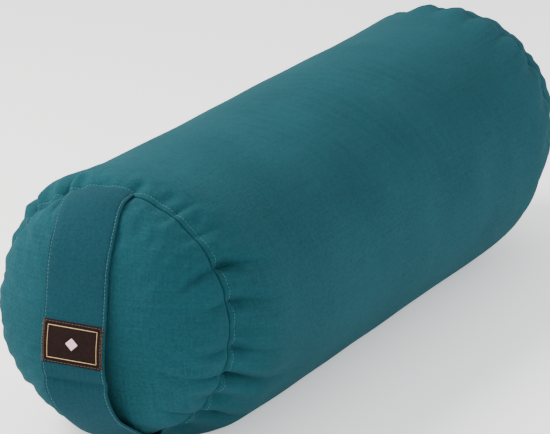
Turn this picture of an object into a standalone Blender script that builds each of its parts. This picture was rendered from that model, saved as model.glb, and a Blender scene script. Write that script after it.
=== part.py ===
"""Round bolster pillow: a canvas tube with two domed end panels, a carry strap across one end, a zip
along its back, and an inner bag that holds the filling. It lies on its side with its axis along X, its
strap end at -X, and what it rests on at z = 0."""

import math

import bmesh
import bpy
from mathutils import Matrix, Vector

# Outer cover, in metres
BARREL_RADIUS = 0.1075
SEAM_TO_SEAM = 0.585
SEAM_RADIUS = 0.0914
NARROWING_LENGTH = 0.060
NARROWING_CURVE = 2.2
END_BULGE = 0.049
END_ROUNDNESS = 2.4
END_LIFT = 0.008
REST_DEPTH = 0.012
HEM_LIFT = 0.0016
HEM_LIFT_LENGTH = 0.015

# Walls and clearances
COVER_WALL = 0.0008
BAG_WALL = 0.0005
GAP = 0.0003
LAYER_GAP = 0.0004

# Seam topstitch
TOPSTITCH_FROM_SEAM = 0.0045
THREAD_WIDTH = 0.0007
THREAD_HEIGHT = 0.0005

# Carry strap and its label: heights are measured from the middle of the end panel
STRAP_WIDTH = 0.052
STRAP_THICKNESS = 0.0022
STRAP_SLACK = 0.0100
SLACK_TOP = 0.045
SLACK_FULL = -0.035
STRAP_SHIFT_TOP = 0.012
STRAP_SHIFT_MIDDLE = 0.0015
STRAP_SHIFT_BOTTOM = -0.010
GRIP_TOP = 0.024
GRIP_BOTTOM = -0.050
STRAP_THREAD_INSET = 0.0011
LABEL_WIDTH = 0.0484
LABEL_LENGTH = 0.031
LABEL_THICKNESS = 0.0005
LABEL_CENTRE = -0.007

# Zips: angles run from the top round the +Y side
COVER_ZIP_ANGLE = math.radians(103.5)
COVER_ZIP_LENGTH = 0.430
BAG_ZIP_ANGLE = math.radians(67.5)
BAG_ZIP_LENGTH = 0.360
TAPE_WIDTH = 0.008
TAPE_THICKNESS = 0.0006
TAPE_DEPTH = 0.0001
COIL_WIDTH = 0.0019
COIL_HEIGHT = 0.0019
COIL_PROUD = 0.0007
BLADE_THICKNESS = 0.0004
PLATE_THICKNESS = 0.0008
FLANGE_WIDTH = 0.0008
SLIDER_LENGTH = 0.009
BRIDGE_WIDTH = 0.0016
BRIDGE_POST = 0.0010
BRIDGE_EYE = 0.0042
BRIDGE_EYE_HEIGHT = 0.0018
PULL_LENGTH = 0.022
PULL_WIDTH = 0.007
PULL_THICKNESS = 0.0010
PULL_WINDOW_CLEARANCE = 0.0007
BARTACK_LENGTH = 0.0014
BARTACK_WIDTH = 0.010
BARTACK_HEIGHT = 0.0006
BARTACK_FROM_END = 0.002
SLIDER_FROM_BARTACK = 0.003

# Facets
SIDES = 40
NARROWING_STATIONS = 5
DOME_RINGS = 6

# What follows from the sizes above
AXIS_HEIGHT = BARREL_RADIUS - REST_DEPTH
END_AXIS_HEIGHT = AXIS_HEIGHT + END_LIFT
FACET = math.cos(math.pi / SIDES)
BAG_DEPTH = COVER_WALL + LAYER_GAP
FILL_DEPTH = BAG_DEPTH + BAG_WALL + LAYER_GAP + GAP
COIL_LOW = COIL_PROUD - COIL_HEIGHT
TOP_PLATE_LOW = COIL_PROUD + GAP
TOP_PLATE_HIGH = TOP_PLATE_LOW + PLATE_THICKNESS
BOTTOM_PLATE_HIGH = COIL_LOW - GAP
BOTTOM_PLATE_LOW = BOTTOM_PLATE_HIGH - PLATE_THICKNESS
COIL_INNER = BLADE_THICKNESS / 2 + GAP
TAPE_INNER = COIL_INNER + COIL_WIDTH + GAP
SLOT_HALF_WIDTH = TAPE_INNER + TAPE_WIDTH + GAP
COVER_ZIP_SEAT = BARREL_RADIUS * FACET
BAG_ZIP_SEAT = (BARREL_RADIUS - COVER_WALL) * FACET - TOP_PLATE_HIGH - LAYER_GAP
PRESSED_IN = (
    (COVER_ZIP_ANGLE, COVER_ZIP_SEAT + BOTTOM_PLATE_LOW - LAYER_GAP),
    (BAG_ZIP_ANGLE, BAG_ZIP_SEAT),
)


def clear_scene():
    for thing in list(bpy.data.objects):
        bpy.data.objects.remove(thing)


def surface(name, colour, roughness, metallic=0.0):
    material = bpy.data.materials.new(name)
    material.use_nodes = True
    shader = material.node_tree.nodes["Principled BSDF"]
    shader.inputs["Base Color"].default_value = (*colour, 1.0)
    shader.inputs["Roughness"].default_value = roughness
    shader.inputs["Metallic"].default_value = metallic
    return material


def add_object(name, bm, material, origin=(0.0, 0.0, 0.0), sharp_over=None, parent=None):
    """Turns a bmesh in world coordinates into an object whose origin is at the given point."""
    bmesh.ops.recalc_face_normals(bm, faces=bm.faces)
    place = Vector(origin)
    bmesh.ops.translate(bm, verts=bm.verts, vec=-place)
    mesh = bpy.data.meshes.new(name)
    bm.to_mesh(mesh)
    bm.free()
    mesh.materials.append(material)
    if sharp_over is not None:
        mesh.shade_smooth()
        mesh.set_sharp_from_angle(angle=math.radians(sharp_over))
    thing = bpy.data.objects.new(name, mesh)
    bpy.context.collection.objects.link(thing)
    thing.location = place
    if parent is not None:
        thing.parent = parent
        thing.location = place - parent.location
    return thing


def joint_empty(name, point):
    empty = bpy.data.objects.new(name, None)
    empty.location = point
    empty.empty_display_size = 0.01
    bpy.context.collection.objects.link(empty)
    return empty


def boolean(target, tool, operation):
    tool.hide_render = True
    tool.display_type = "WIRE"
    modifier = target.modifiers.new(operation.title(), "BOOLEAN")
    modifier.operation = operation
    modifier.object = tool


# ---- Round fabric pieces: rings about the axis, pressed flat where something pushes on them

def rest_height(from_seam):
    """How far the underside stays off the floor: the hem rises a little towards each seam."""
    return HEM_LIFT * max(0.0, 1.0 - from_seam / HEM_LIFT_LENGTH)


def axis_height(x):
    """The ends ride a little high, because the filling settles lower between them."""
    share = min(1.0, max(0.0, (SEAM_TO_SEAM / 2 - abs(x)) / (NARROWING_LENGTH * 0.9)))
    return END_AXIS_HEIGHT - END_LIFT * share * share * (3 - 2 * share)


def ring_points(x, radius, depth, presses):
    points = []
    middle = axis_height(x)
    low = rest_height(SEAM_TO_SEAM / 2 - abs(x)) + depth
    for i in range(SIDES):
        angle = 2 * math.pi * i / SIDES
        y, z = radius * math.sin(angle), radius * math.cos(angle)
        for toward, limit in presses:
            over = y * math.sin(toward) + z * math.cos(toward) - limit
            if over > 0:
                y -= over * math.sin(toward)
                z -= over * math.cos(toward)
        points.append((x, y, max(z + middle, low)))
    return points


def barrel_profile(inset, seam_radius):
    """(x, radius) along the barrel, seam to seam, with its rounded narrowing at both ends."""
    half = SEAM_TO_SEAM / 2 - inset
    run = NARROWING_LENGTH - inset
    rise = BARREL_RADIUS - inset - seam_radius
    stitched = math.acos(1 - (TOPSTITCH_FROM_SEAM - inset) / run)
    turns = [0.0, stitched] + [
        stitched + (math.pi / 2 - stitched) * i / NARROWING_STATIONS
        for i in range(1, NARROWING_STATIONS + 1)
    ]
    side = [
        (half - run * (1 - math.cos(a)), seam_radius + rise * (1 - math.cos(a) ** NARROWING_CURVE))
        for a in turns
    ]
    return [(-x, r) for x, r in side] + [(x, r) for x, r in reversed(side)]


def dome_profile(rim_x, rim_radius, bulge):
    """(x, radius) from the rim to the ring next to the middle of an end panel that faces +X."""
    points = []
    for i in range(DOME_RINGS):
        share = math.cos(math.pi / 2 * i / DOME_RINGS)
        rise = (1 - share**END_ROUNDNESS) ** (1 / END_ROUNDNESS)
        points.append((rim_x + bulge * rise, rim_radius * share))
    return points


def bridge(bm, first, second):
    for i in range(SIDES):
        j = (i + 1) % SIDES
        bm.faces.new((first[i], first[j], second[j], second[i]))


def add_rings(bm, profile, depth, presses=()):
    rings = [[bm.verts.new(p) for p in ring_points(x, r, depth, presses)] for x, r in profile]
    for first, second in zip(rings, rings[1:]):
        bridge(bm, first, second)
    return rings


def deeper(presses, by):
    return [(toward, limit - by) for toward, limit in presses]


def tube(name, material, inset, seam_radius, wall, presses=()):
    """A sewn tube of one thickness of cloth, open at both ends."""
    bm = bmesh.new()
    outer = add_rings(bm, barrel_profile(inset, seam_radius), inset, presses)
    inner = add_rings(
        bm, barrel_profile(inset + wall, seam_radius), inset + wall, deeper(presses, wall)
    )
    bridge(bm, outer[0], inner[0])
    bridge(bm, outer[-1], inner[-1])
    return add_object(name, bm, material, (0, 0, AXIS_HEIGHT), sharp_over=50)


def end_dome(name, material, side, inset, wall):
    """A round panel of cloth, cupped by the filling that pushes it out."""
    rim_x = SEAM_TO_SEAM / 2 - inset
    rim_radius = SEAM_RADIUS - inset - GAP
    bm = bmesh.new()
    skins = []
    for depth in (0.0, wall):
        profile = dome_profile(rim_x, rim_radius - depth, END_BULGE - depth)
        rings = [
            [
                bm.verts.new((
                    side * x,
                    r * math.sin(2 * math.pi * i / SIDES),
                    END_AXIS_HEIGHT + r * math.cos(2 * math.pi * i / SIDES),
                ))
                for i in range(SIDES)
            ]
            for x, r in profile
        ]
        for first, second in zip(rings, rings[1:]):
            bridge(bm, first, second)
        tip = bm.verts.new((side * (rim_x + END_BULGE - depth), 0, END_AXIS_HEIGHT))
        for i in range(SIDES):
            bm.faces.new((rings[-1][i], rings[-1][(i + 1) % SIDES], tip))
        skins.append(rings)
    bridge(bm, skins[0][0], skins[1][0])
    return add_object(name, bm, material, (side * rim_x, 0, END_AXIS_HEIGHT), sharp_over=50)


def filling(name, material):
    """The loose fill as one body, with the shape that the bag gives it."""
    presses = [
        (COVER_ZIP_ANGLE, PRESSED_IN[0][1] - BAG_WALL - LAYER_GAP),
        (BAG_ZIP_ANGLE, BAG_ZIP_SEAT + BOTTOM_PLATE_LOW - LAYER_GAP),
    ]
    seam_radius = SEAM_RADIUS - FILL_DEPTH
    barrel = barrel_profile(FILL_DEPTH, seam_radius)
    dome = dome_profile(SEAM_TO_SEAM / 2 - FILL_DEPTH, seam_radius, END_BULGE)[1:]
    profile = [(-x, r) for x, r in reversed(dome)] + barrel + dome
    bm = bmesh.new()
    rings = add_rings(bm, profile, FILL_DEPTH, presses)
    reach = SEAM_TO_SEAM / 2 - FILL_DEPTH + END_BULGE
    for ring, x in ((rings[0], -reach), (rings[-1], reach)):
        tip = bm.verts.new((x, 0, END_AXIS_HEIGHT))
        for i in range(SIDES):
            bm.faces.new((ring[i], ring[(i + 1) % SIDES], tip))
    return add_object(name, bm, material, (0, 0, AXIS_HEIGHT), sharp_over=50)


def topstitch(name, material, side):
    """The row of thread round the barrel beside a seam, lying on the cloth's slope."""
    profile = barrel_profile(0.0, SEAM_RADIUS)
    x, radius = profile[-2]
    rise = BARREL_RADIUS - SEAM_RADIUS
    turn = math.acos(1 - TOPSTITCH_FROM_SEAM / NARROWING_LENGTH)
    climb = rise * NARROWING_CURVE * math.cos(turn) ** (NARROWING_CURVE - 1)
    along = Vector((-NARROWING_LENGTH, climb)).normalized()
    out = Vector((-along.y, along.x)) * (-1 if along.x < 0 else 1)
    bm = bmesh.new()
    rings = []
    for step, height in ((-0.5, 0), (0.5, 0), (0.5, THREAD_HEIGHT), (-0.5, THREAD_HEIGHT)):
        off = GAP + height
        at = Vector((x, radius)) + along * step * THREAD_WIDTH + out * off
        points = ring_points(at.x, at.y, -off, ())
        rings.append([bm.verts.new((side * p[0], p[1], p[2])) for p in points])
    for first, second in zip(rings, rings[1:] + rings[:1]):
        bridge(bm, first, second)
    return add_object(name, bm, material, (side * x, 0, END_AXIS_HEIGHT), sharp_over=50)


# ---- Carry strap: a band over the domed end, from the seam's top to its bottom

def ease(value, start, end):
    share = min(1.0, max(0.0, (value - start) / (end - start)))
    return share * share * (3 - 2 * share)


def strap_line(turn):
    """(out from the seam, height over the axis) of the band's mid-thickness, and its sideways shift.

    turn runs from 90 degrees at the top seam to -90 at the bottom one."""
    power = 2 / END_ROUNDNESS
    rough_height = math.copysign(SEAM_RADIUS * abs(math.sin(turn)) ** power, turn)
    slack = STRAP_SLACK * (1 - ease(rough_height, SLACK_FULL, SLACK_TOP))
    slack *= ease(rough_height, -SEAM_RADIUS, SLACK_FULL)
    off = STRAP_THICKNESS / 2 + LAYER_GAP + slack
    out = (END_BULGE + off) * math.cos(turn) ** power
    height = math.copysign((SEAM_RADIUS + off) * abs(math.sin(turn)) ** power, turn)
    shift = STRAP_SHIFT_MIDDLE
    shift += (STRAP_SHIFT_TOP - STRAP_SHIFT_MIDDLE) * ease(rough_height, GRIP_TOP, SEAM_RADIUS)
    shift += (STRAP_SHIFT_BOTTOM - STRAP_SHIFT_MIDDLE) * ease(-rough_height, -GRIP_BOTTOM, SEAM_RADIUS)
    return Vector((out, height)), shift


def strap_point(turn, across, off):
    """A point of the band, across its width and off its mid-thickness, outwards positive."""
    here, shift = strap_line(turn)
    step = 0.002
    ahead, _ = strap_line(max(turn - step, -math.pi / 2))
    behind, _ = strap_line(min(turn + step, math.pi / 2))
    along = (ahead - behind).normalized()
    place = here + Vector((-along.y, along.x)) * off
    y = shift + across
    wrapped = math.copysign(math.sqrt(max(place.y**2 - y**2, 0.0)), place.y)
    hug = ease(abs(place.y), SEAM_RADIUS * 0.62, SEAM_RADIUS * 0.92)
    z = place.y + (wrapped - place.y) * hug
    return Vector((-SEAM_TO_SEAM / 2 - place.x, y, END_AXIS_HEIGHT + z))


def turn_at(height):
    """The turn at which the band's middle is at this height."""
    low, high = -math.pi / 2, math.pi / 2
    for _ in range(40):
        middle = (low + high) / 2
        if strap_line(middle)[0].y < height:
            low = middle
        else:
            high = middle
    return middle


def band(name, material, top, bottom, steps, across, cuts, off, parent=None):
    """A length of the band or of what lies on it: turns top to bottom, side to side, inner to outer."""
    bm = bmesh.new()
    layers = []
    for height in off:
        layers.append([
            [
                bm.verts.new(strap_point(
                    top + (bottom - top) * i / steps,
                    across[0] + (across[1] - across[0]) * j / cuts,
                    height,
                ))
                for j in range(cuts + 1)
            ]
            for i in range(steps + 1)
        ])
    for grid in layers:
        for i in range(steps):
            for j in range(cuts):
                bm.faces.new((grid[i][j], grid[i + 1][j], grid[i + 1][j + 1], grid[i][j + 1]))
    inner, outer = layers
    for row in (0, steps):
        for j in range(cuts):
            bm.faces.new((inner[row][j], inner[row][j + 1], outer[row][j + 1], outer[row][j]))
    for column in (0, cuts):
        for i in range(steps):
            bm.faces.new((
                inner[i][column], inner[i + 1][column], outer[i + 1][column], outer[i][column]
            ))
    origin = parent.location if parent is not None else strap_point(top, 0, 0)
    return add_object(name, bm, material, origin, sharp_over=40, parent=parent)


def carry_strap(cloth, thread, label_cloth):
    grip_top, grip_bottom = turn_at(GRIP_TOP), turn_at(GRIP_BOTTOM)
    split = GAP / 2 / SEAM_RADIUS
    end = math.pi / 2 - 0.006
    hand = joint_empty("handle_joint", strap_point(turn_at(LABEL_CENTRE), 0, 0))
    lengths = {
        "upper": (end, grip_top + split, 10, None),
        "grip": (grip_top - split, grip_bottom + split, 8, hand),
        "lower": (grip_bottom - split, -end, 10, None),
    }
    half = STRAP_WIDTH / 2
    face = STRAP_THICKNESS / 2
    row = half - STRAP_THREAD_INSET
    for part, (top, bottom, steps, parent) in lengths.items():
        band(f"handle_strap_{part}", cloth, top, bottom, steps, (-half, half), 4,
             (-face, face), parent)
        for side, place in (("left", row), ("right", -row)):
            edges = (place - THREAD_WIDTH / 2, place + THREAD_WIDTH / 2)
            band(f"handle_edge_thread_{part}_{side}", thread, top, bottom, steps, edges, 1,
                 (face + GAP, face + GAP + THREAD_HEIGHT), parent)
    label_top = turn_at(LABEL_CENTRE + LABEL_LENGTH / 2)
    label_bottom = turn_at(LABEL_CENTRE - LABEL_LENGTH / 2)
    band("handle_label", label_cloth, label_top, label_bottom, 6,
         (-LABEL_WIDTH / 2, LABEL_WIDTH / 2), 2, (face + GAP, face + GAP + LABEL_THICKNESS), hand)


# ---- Zips: local x runs along the zip, y across it, z out of the bolster

def zip_frame(angle, seat):
    out = Vector((0.0, math.sin(angle), math.cos(angle)))
    across = Vector((0.0, math.cos(angle), -math.sin(angle)))
    place = Matrix.Identity(4)
    for column, axis in enumerate((Vector((1.0, 0.0, 0.0)), across, out)):
        for row in range(3):
            place[row][column] = axis[row]
    place.translation = Vector((0.0, 0.0, AXIS_HEIGHT)) + out * seat
    return place


def box(bm, low, high, place):
    size = [b - a for a, b in zip(low, high)]
    middle = [(a + b) / 2 for a, b in zip(low, high)]
    made = bmesh.ops.create_cube(bm, size=1.0)
    bmesh.ops.scale(bm, verts=made["verts"], vec=size)
    bmesh.ops.translate(bm, verts=made["verts"], vec=middle)
    bmesh.ops.transform(bm, verts=made["verts"], matrix=place)


def box_object(name, material, low, high, place, origin=None):
    bm = bmesh.new()
    box(bm, low, high, place)
    middle = place @ Vector([(a + b) / 2 for a, b in zip(low, high)])
    return add_object(name, bm, material, origin or middle)


def extruded(bm, outline, start, end, point):
    """Closes an outline of (a, b) pairs, swept from start to end; point places (sweep, a, b)."""
    first = [bm.verts.new(point(start, a, b)) for a, b in outline]
    last = [bm.verts.new(point(end, a, b)) for a, b in outline]
    bm.faces.new(first)
    bm.faces.new(last)
    for i in range(len(outline)):
        j = (i + 1) % len(outline)
        bm.faces.new((first[i], first[j], last[j], last[i]))


def slider_outline():
    """Half of the slider's section, from its blade outwards, then its mirror image."""
    blade = BLADE_THICKNESS / 2
    inner = TAPE_INNER + GAP / 3
    edge = inner + FLANGE_WIDTH
    tape_low = -TAPE_DEPTH - TAPE_THICKNESS
    half = [
        (edge, TOP_PLATE_HIGH),
        (edge, -TAPE_DEPTH + GAP),
        (inner, -TAPE_DEPTH + GAP),
        (inner, TOP_PLATE_LOW),
        (blade, TOP_PLATE_LOW),
        (blade, BOTTOM_PLATE_HIGH),
        (inner, BOTTOM_PLATE_HIGH),
        (inner, tape_low - GAP),
        (edge, tape_low - GAP),
        (edge, BOTTOM_PLATE_LOW),
    ]
    return half + [(-a, b) for a, b in reversed(half)]


def zip_fastener(prefix, angle, seat, length, tape, coil, metal, thread):
    """Tapes, coils, end bars and slider. Returns the slider's start, its travel and the frame."""
    place = zip_frame(angle, seat)
    half = length / 2 - GAP
    for side, sign in (("upper", -1), ("lower", 1)):
        across = sorted((sign * TAPE_INNER, sign * (TAPE_INNER + TAPE_WIDTH)))
        box_object(f"{prefix}_zip_tape_{side}", tape,
                   (-half, across[0], -TAPE_DEPTH - TAPE_THICKNESS), (half, across[1], -TAPE_DEPTH), place)
        across = sorted((sign * COIL_INNER, sign * (COIL_INNER + COIL_WIDTH)))
        box_object(f"{prefix}_zip_coil_{side}", coil,
                   (-half, across[0], COIL_LOW), (half, across[1], COIL_PROUD), place)
    bar_end = half - BARTACK_FROM_END
    bar_start = bar_end - BARTACK_LENGTH
    for end, (low, high) in (("front", (-bar_end, -bar_start)), ("rear", (bar_start, bar_end))):
        box_object(f"{prefix}_zip_bartack_{end}", thread,
                   (low, -BARTACK_WIDTH / 2, TOP_PLATE_LOW),
                   (high, BARTACK_WIDTH / 2, TOP_PLATE_LOW + BARTACK_HEIGHT), place)
    rest = -(bar_start - SLIDER_FROM_BARTACK - SLIDER_LENGTH / 2)
    empty = joint_empty(f"{prefix}_slider_joint", place @ Vector((rest, 0, 0)))
    bm = bmesh.new()
    extruded(bm, slider_outline(), rest - SLIDER_LENGTH / 2, rest + SLIDER_LENGTH / 2,
             lambda x, y, z: place @ Vector((x, y, z)))
    slider = add_object(f"{prefix}_zip_slider", bm, metal, empty.location, parent=empty)
    return slider, rest, place, empty


def pull_tab(name, metal, slider, rest, place, slider_empty):
    """A bridge on the slider, and the tab whose cross bar turns in the bridge's eye."""
    eye_high = TOP_PLATE_HIGH + BRIDGE_EYE_HEIGHT
    foot = TOP_PLATE_HIGH - PLATE_THICKNESS / 2
    reach = BRIDGE_EYE / 2 + BRIDGE_POST
    arch = [
        (-reach, foot), (-reach, eye_high + PLATE_THICKNESS), (reach, eye_high + PLATE_THICKNESS),
        (reach, foot), (BRIDGE_EYE / 2, foot), (BRIDGE_EYE / 2, eye_high),
        (-BRIDGE_EYE / 2, eye_high), (-BRIDGE_EYE / 2, foot),
    ]
    bm = bmesh.new()
    extruded(bm, arch, -BRIDGE_WIDTH / 2, BRIDGE_WIDTH / 2,
             lambda y, x, z: place @ Vector((rest + x, y, z)))
    tool = add_object("slider_bridge", bm, metal, slider_empty.location)
    boolean(slider, tool, "UNION")
    axis_high = TOP_PLATE_HIGH + BRIDGE_EYE_HEIGHT / 2
    empty = joint_empty("pull_tab_joint", place @ Vector((rest, 0, axis_high)))
    bar = PULL_THICKNESS / 2
    window = reach + PULL_WINDOW_CLEARANCE
    side = BRIDGE_WIDTH / 2 + PULL_WINDOW_CLEARANCE
    edge = PULL_WIDTH / 2
    tip = edge * 0.6
    bm = bmesh.new()
    levels = []
    for z in (axis_high - bar, axis_high + bar):
        outline = [(-bar, -edge), (window, -edge), (PULL_LENGTH - 0.004, -edge), (PULL_LENGTH, -tip),
                   (PULL_LENGTH, tip), (PULL_LENGTH - 0.004, edge), (window, edge), (-bar, edge)]
        hole = [(bar, -side), (window, -side), (window, side), (bar, side)]
        at = lambda p: bm.verts.new(place @ Vector((rest + p[0], p[1], z)))
        levels.append(([at(p) for p in outline], [at(p) for p in hole]))
    for outer, inner in levels:
        bm.faces.new((outer[0], outer[1], inner[1], inner[0]))
        bm.faces.new((outer[1], outer[2], outer[3], outer[4], outer[5], outer[6], inner[2], inner[1]))
        bm.faces.new((outer[6], outer[7], inner[3], inner[2]))
        bm.faces.new((outer[7], outer[0], inner[0], inner[3]))
    for ring in (0, 1):
        low, high = levels[0][ring], levels[1][ring]
        for i in range(len(low)):
            j = (i + 1) % len(low)
            bm.faces.new((low[i], low[j], high[j], high[i]))
    add_object(name, bm, metal, empty.location, parent=empty)


def cut_slot(target, angle, seat, length):
    place = zip_frame(angle, seat)
    tool = box_object("zip_slot_cutter", target.data.materials[0],
                      (-length / 2, -SLOT_HALF_WIDTH, -0.006), (length / 2, SLOT_HALF_WIDTH, 0.006), place)
    boolean(target, tool, "DIFFERENCE")


clear_scene()

canvas = surface("teal_canvas", (0.028, 0.135, 0.150), 0.85)
strap_canvas = surface("teal_strap_canvas", (0.026, 0.128, 0.145), 0.85)
teal_thread = surface("teal_thread", (0.060, 0.210, 0.225), 0.60)
label_weave = surface("brown_label_weave", (0.045, 0.026, 0.020), 0.70)
zip_tape = surface("teal_zip_tape", (0.020, 0.105, 0.120), 0.80)
zip_coil = surface("teal_zip_coil", (0.016, 0.085, 0.100), 0.45)
zip_metal = surface("zip_metal", (0.55, 0.55, 0.54), 0.30, 1.0)
bag_cotton = surface("natural_cotton", (0.62, 0.56, 0.46), 0.90)
bag_tape = surface("natural_zip_tape", (0.60, 0.55, 0.46), 0.85)
bag_coil = surface("natural_zip_coil", (0.66, 0.62, 0.54), 0.45)
bag_thread = surface("natural_thread", (0.66, 0.60, 0.50), 0.70)
husks = surface("husk_fill", (0.42, 0.28, 0.13), 0.90)

cover = tube("cover_barrel_panel", canvas, 0.0, SEAM_RADIUS, COVER_WALL)
cut_slot(cover, COVER_ZIP_ANGLE, COVER_ZIP_SEAT, COVER_ZIP_LENGTH)
end_dome("cover_end_panel_front", canvas, -1, 0.0, COVER_WALL)
end_dome("cover_end_panel_rear", canvas, 1, 0.0, COVER_WALL)
topstitch("seam_topstitch_front", teal_thread, -1)
topstitch("seam_topstitch_rear", teal_thread, 1)
carry_strap(strap_canvas, teal_thread, label_weave)

slider, rest, frame, slider_at = zip_fastener(
    "cover", COVER_ZIP_ANGLE, COVER_ZIP_SEAT, COVER_ZIP_LENGTH, zip_tape, zip_coil, zip_metal, teal_thread
)
pull_tab("cover_zip_pull_tab", zip_metal, slider, rest, frame, slider_at)

bag = tube("inner_bag_barrel_panel", bag_cotton, BAG_DEPTH, SEAM_RADIUS - BAG_DEPTH, BAG_WALL, PRESSED_IN)
cut_slot(bag, BAG_ZIP_ANGLE, BAG_ZIP_SEAT, BAG_ZIP_LENGTH)
end_dome("inner_bag_end_panel_front", bag_cotton, -1, BAG_DEPTH, BAG_WALL)
end_dome("inner_bag_end_panel_rear", bag_cotton, 1, BAG_DEPTH, BAG_WALL)
zip_fastener("bag", BAG_ZIP_ANGLE, BAG_ZIP_SEAT, BAG_ZIP_LENGTH, bag_tape, bag_coil, zip_metal, bag_thread)
filling("husk_filling", husks)
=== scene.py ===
"""A round bolster pillow: canvas cover, carry strap, zips, inner bag and loose filling."""

import math

import bpy
import numpy as np
from mathutils import Matrix, Vector
from mathutils.bvhtree import BVHTree


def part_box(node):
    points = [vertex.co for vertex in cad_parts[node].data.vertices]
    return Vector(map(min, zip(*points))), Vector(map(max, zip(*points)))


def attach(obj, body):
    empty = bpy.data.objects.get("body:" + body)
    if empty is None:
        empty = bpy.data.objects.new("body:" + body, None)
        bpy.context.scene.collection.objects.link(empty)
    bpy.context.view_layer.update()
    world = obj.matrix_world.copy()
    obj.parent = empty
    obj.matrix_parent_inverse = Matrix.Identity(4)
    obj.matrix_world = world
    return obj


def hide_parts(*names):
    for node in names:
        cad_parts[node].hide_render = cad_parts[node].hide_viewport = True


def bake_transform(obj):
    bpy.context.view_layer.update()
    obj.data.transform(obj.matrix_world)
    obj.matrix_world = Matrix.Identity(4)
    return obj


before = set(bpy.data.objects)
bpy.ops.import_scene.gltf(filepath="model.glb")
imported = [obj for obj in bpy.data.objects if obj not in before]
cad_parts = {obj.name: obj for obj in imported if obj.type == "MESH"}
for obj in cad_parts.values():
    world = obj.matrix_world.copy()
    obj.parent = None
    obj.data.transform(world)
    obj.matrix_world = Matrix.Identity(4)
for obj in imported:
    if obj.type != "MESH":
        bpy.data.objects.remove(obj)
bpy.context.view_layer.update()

# ---- Cover cloth -------------------------------------------------------------------------------
# Cotton canvas, dyed teal: a tube and two round panels, sewn inside out and turned. Stuffing it
# domes the round panels, which draws their seams in and leaves the tube puckered beside them.

mm = 0.001
barrel_low, barrel_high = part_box("cover_barrel_panel")
panel_low, panel_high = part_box("cover_end_panel_rear")
half_length = barrel_high[0]
barrel_radius = (barrel_high[1] - barrel_low[1]) / 2
barrel_axis = barrel_high[2] - barrel_radius
end_axis = (panel_high[2] + panel_low[2]) / 2
panel_clearance = 0.3 * mm
seam_radius = (panel_high[2] - panel_low[2]) / 2 + panel_clearance
end_bulge = panel_high[0] - panel_low[0]
narrowing, narrowing_curve, roundness = 0.060, 2.2, 2.4
# The zip's place round the tube, half the length it holds flat, and half its opening's length and width
cover_zip_turn = math.radians(103.5)
cover_zip_reach, cover_slot_reach = 0.2175, 0.2150
slot_half_turn = 4.2 * mm / barrel_radius

# The cloth as cut, the squares it is simulated in, and the turnings inside its seams
tube_cut, tube_cut_radius = 0.590, 0.106
turnings = 3 * mm
cut_rows, cut_columns = 96, 120
panel_squares = cut_columns // 8
# Each pucker: degrees from the top towards -Y, its depth in mm, and its length along the tube in mm
front_puckers = (
    (30, 2.0, 24), (44, 1.6, 20), (60, 4.2, 44), (76, 3.4, 40), (88, 1.6, 24), (98, 3.4, 46), (112, 6.5, 62),
    (124, 2.4, 30), (136, 6.0, 56), (150, 3.0, 30), (166, 3.4, 34), (180, 2.4, 30), (-160, 3.2, 32),
    (-139, 3.0, 34), (-118, 3.4, 34), (-97, 4.2, 36), (-84, 2.2, 22), (-73, 5.6, 40), (-58, 2.4, 24),
    (-47, 7.0, 46), (-28, 6.0, 38), (8, 1.0, 16), (-9, 0.6, 16),
)
chance = np.random.default_rng(11)
rear_puckers = tuple(
    (360 / 21 * i + chance.uniform(-3, 3), chance.uniform(2.6, 4.2), chance.uniform(26, 48))
    for i in range(21)
)


def apart(degrees, angle):
    """How far round the tube from an angle, from -180 to 180 degrees."""
    return (degrees - angle + 180) % 360 - 180


# The finished cloth's columns, crowded together where the puckers are deep
columns = 480
fine_turn = np.radians(np.linspace(0, 360, 7201))
crowding = np.ones(len(fine_turn))
for angle, depth, _ in front_puckers:
    crowding += 0.55 * min(depth, 5) * np.exp(-((apart(np.degrees(fine_turn), -angle - 1.0) / 2.4) ** 2))
crowding = np.cumsum(crowding)
crowding = (crowding - crowding[0]) / (crowding[-1] - crowding[0])
turn = np.interp(np.arange(columns) / columns, crowding, fine_turn)


class Wire:
    """A socket in a material. Arithmetic on it adds Math nodes and gives the next Wire."""

    def __init__(self, dye, socket):
        self.dye, self.socket = dye, socket

    def sum_with(self, operation, *values):
        return self.dye.node("ShaderNodeMath", {"operation": operation}, dict(enumerate(values)))

    def __add__(self, other):
        return self.sum_with("ADD", self, other)

    def __sub__(self, other):
        return self.sum_with("SUBTRACT", self, other)

    def __rsub__(self, other):
        return self.sum_with("SUBTRACT", other, self)

    def __mul__(self, other):
        return self.sum_with("MULTIPLY", self, other)

    def __truediv__(self, other):
        return self.sum_with("DIVIDE", self, other)

    def __pow__(self, other):
        return self.sum_with("POWER", self, other)

    __radd__, __rmul__ = __add__, __mul__


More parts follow.
